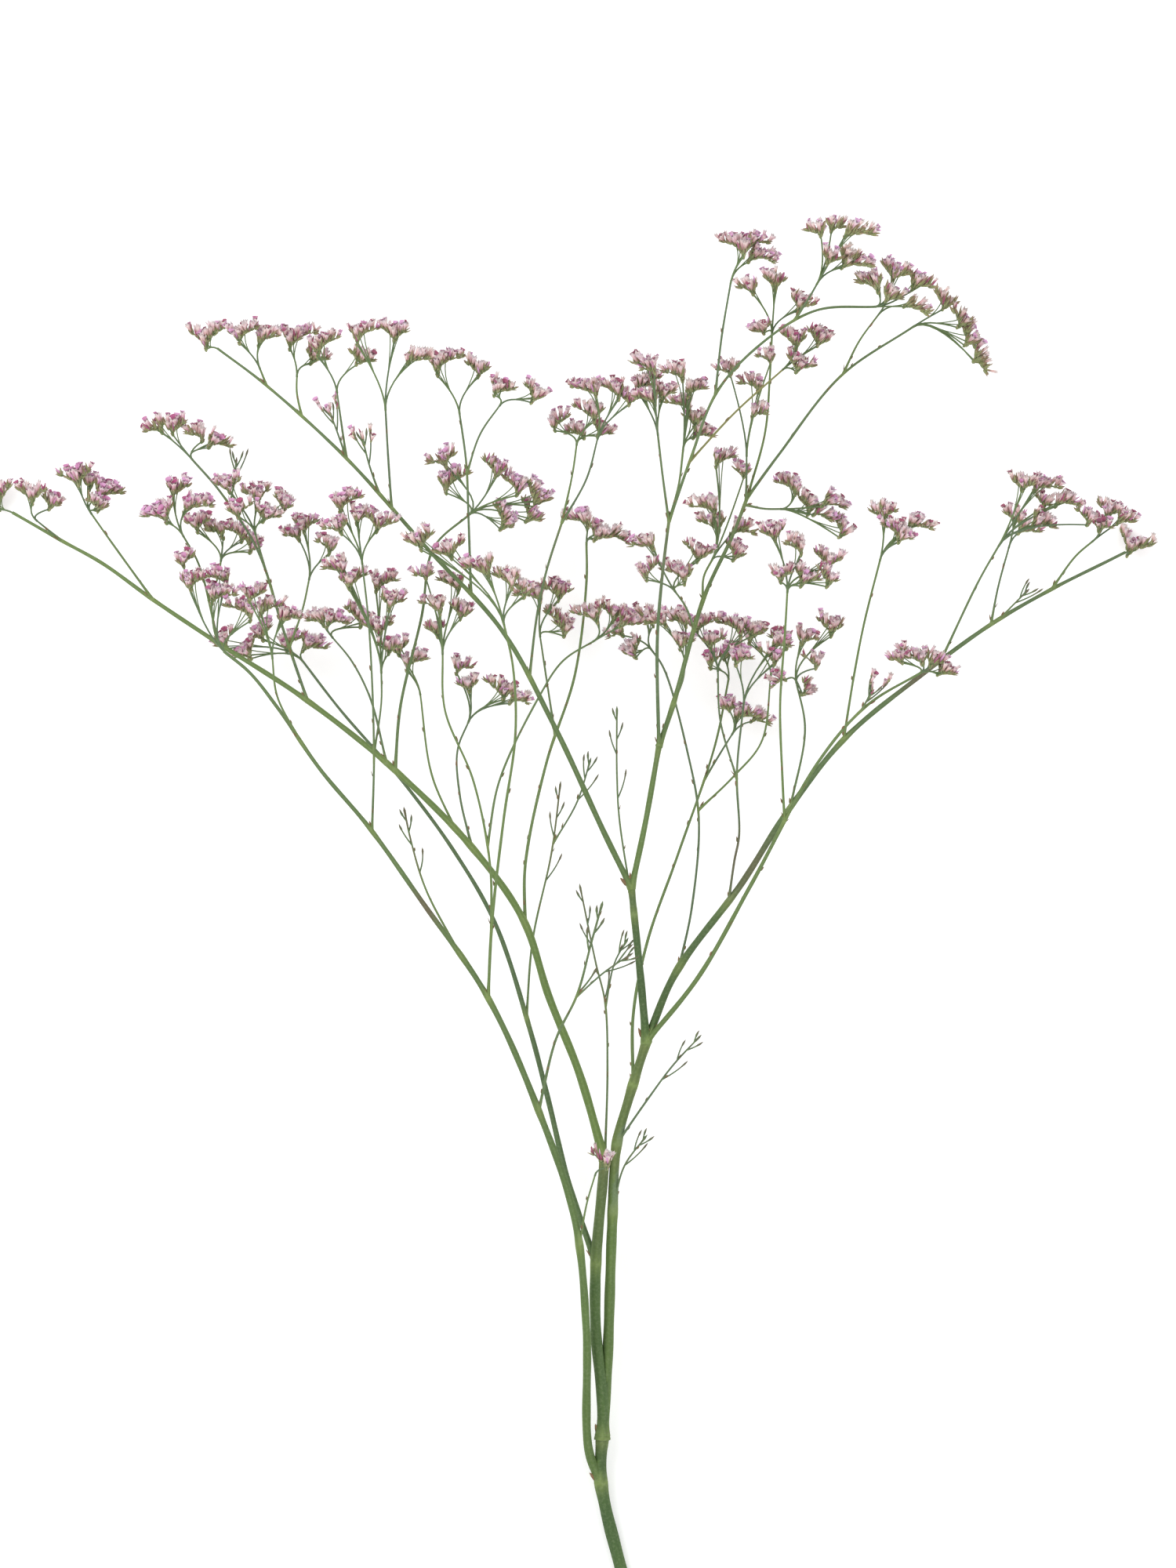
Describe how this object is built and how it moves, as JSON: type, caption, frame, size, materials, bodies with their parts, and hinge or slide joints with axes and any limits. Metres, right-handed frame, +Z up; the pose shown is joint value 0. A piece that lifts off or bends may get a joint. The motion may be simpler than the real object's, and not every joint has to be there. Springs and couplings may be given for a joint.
{
  "type": "dried statice stem",
  "caption": "Cut stem of statice lying on its side: one green scape forks into arching branches that end in loose, one-sided spikes of pink papery florets.",
  "frame": {"origin": "on the table, under the middle of the whole spray's length and width", "axes": "+Y from the cut end of the stem to the tips, +Z up from the table, +X to the right as seen from above"},
  "size_m": [0.5128, 0.6048, 0.1169],
  "materials": {
    "green_stem": "matte fresh-dried green stem, yellower at the forks and brown at the dry tips",
    "pink_florets": "papery pink calyces and petals over small green-brown bracts"
  },
  "bodies": {
    "root": {"stem": "green_stem", "flowers_up_left": "pink_florets", "flowers_g_up_4": "pink_florets", "flowers_g_up_3": "pink_florets", "flowers_g_up_2": "pink_florets", "flowers_g_up_1": "pink_florets", "flowers_s_up": "pink_florets", "flowers_s_right": "pink_florets", "flowers_v_left": "pink_florets", "flowers_v_right": "pink_florets", "flowers_crown_left": "pink_florets", "flowers_crown_mid": "pink_florets", "flowers_peak": "pink_florets", "flowers_peak_right": "pink_florets", "flowers_crown_arch": "pink_florets", "flowers_fork_up": "pink_florets", "flowers_ochre": "pink_florets", "flowers_fork_arch": "pink_florets", "flowers_fork_thin": "pink_florets", "flowers_arm_up_1": "pink_florets", "flowers_arm_up_2": "pink_florets", "flowers_arm_up_3": "pink_florets", "flowers_arm_up_4": "pink_florets", "flowers_arm_right": "pink_florets", "flowers_over_right": "pink_florets", "flowers_over_up": "pink_florets", "flowers_over_bud": "pink_florets", "flowers_knee": "pink_florets", "flowers_low_right_2": "pink_florets", "flowers_knee_left": "pink_florets", "flowers_back_bud": "pink_florets", "flowers_back_right": "pink_florets", "flowers_low_right": "pink_florets", "flowers_fork_thread": "pink_florets", "flowers_inner_left": "pink_florets", "flowers_fork_back": "pink_florets", "flowers_tall_right": "pink_florets", "flowers_tall": "pink_florets", "flowers_tall_left": "pink_florets", "flowers_inner_up": "pink_florets", "flowers_inner_c5": "pink_florets", "flowers_far_left": "pink_florets", "flowers_end_up_1": "pink_florets", "flowers_end_up_2": "pink_florets", "flowers_end_up_3": "pink_florets", "flowers_arm_left": "pink_florets", "flowers_far_fork": "pink_florets", "flowers_left_c6": "pink_florets", "flowers_left_c7": "pink_florets", "flowers_left": "pink_florets", "flowers_left_side": "pink_florets", "flowers_under_left": "pink_florets", "flowers_left_up": "pink_florets", "flowers_left_up_2": "pink_florets", "flowers_inner_c3": "pink_florets", "flowers_inner_c2": "pink_florets", "flowers_inner_side": "pink_florets", "flowers_fork_low": "pink_florets", "flowers_fork_side": "pink_florets", "flowers_small_7": "pink_florets"}
  },
  "joints": []
}
